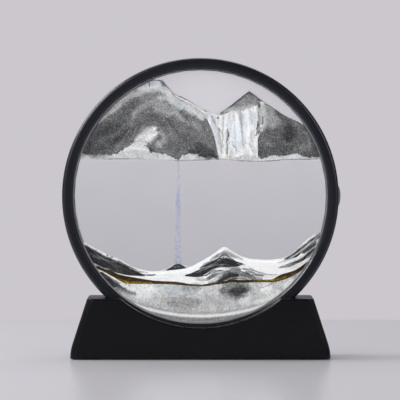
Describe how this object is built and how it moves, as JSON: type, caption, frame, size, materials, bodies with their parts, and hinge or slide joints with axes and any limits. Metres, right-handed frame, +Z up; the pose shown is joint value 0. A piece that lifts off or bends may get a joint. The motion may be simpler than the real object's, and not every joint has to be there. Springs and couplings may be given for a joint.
{
  "type": "moving sand art frame",
  "caption": "Round liquid-filled glass sand picture in a slim black ring frame, turned by hand in a black saddle stand so that layered sand falls anew.",
  "frame": {"origin": "on the table, under the middle of the stand", "axes": "+Z up, +Y away from the viewer who faces the picture, +X to the viewer's right, towards the refill plug"},
  "size_m": [0.1816, 0.048, 0.1955],
  "materials": {
    "black_plastic": "satin moulded ABS",
    "pane_glass": "clear polished glass",
    "clear_acrylic": "clear acrylic",
    "seal_silicone": "translucent silicone",
    "plug_silicone": "soft silicone",
    "clear_liquid": "clear water and glycerine",
    "white_sand": "fine white sand",
    "gold_sand": "fine gold sand",
    "black_sand": "fine black sand",
    "foot_foam": "closed-cell foam",
    "screw_steel": "zinc-plated steel"
  },
  "bodies": {
    "stand": {"stand_shell": "black_plastic", "base_plate": "black_plastic", "base_screw_1": "screw_steel", "base_screw_2": "screw_steel", "base_screw_3": "screw_steel", "base_screw_4": "screw_steel", "foot_front_left": "foot_foam", "foot_front_right": "foot_foam", "foot_rear_left": "foot_foam", "foot_rear_right": "foot_foam"},
    "sand_disc": {"front_bezel": "black_plastic", "rear_bezel": "black_plastic", "front_pane": "pane_glass", "rear_pane": "pane_glass", "front_seal": "seal_silicone", "rear_seal": "seal_silicone", "spacer_ring": "clear_acrylic", "white_bed": "white_sand", "gold_layer": "gold_sand", "near_hill": "black_sand", "white_drift": "white_sand", "left_dune": "black_sand", "peak_band": "black_sand", "slope_band": "black_sand", "white_crest": "white_sand", "right_dune": "black_sand", "fallen_heap": "black_sand", "held_left_sand": "black_sand", "held_curtain": "white_sand", "held_peak": "black_sand", "held_right_sand": "black_sand", "liquid_below": "clear_liquid", "liquid_above": "clear_liquid"},
    "refill_plug": {"fill_plug": "plug_silicone"}
  },
  "joints": [
    {"name": "disc_turn", "type": "hinge", "parent": "stand", "child": "sand_disc", "pos_m": [0, 0, 0.1055], "axis": [0, -1, 0], "range_deg": [-36, 216]},
    {"name": "plug_pull", "type": "slide", "parent": "sand_disc", "child": "refill_plug", "axis": [1, 0, 0], "range_m": [0, 0.009]}
  ]
}
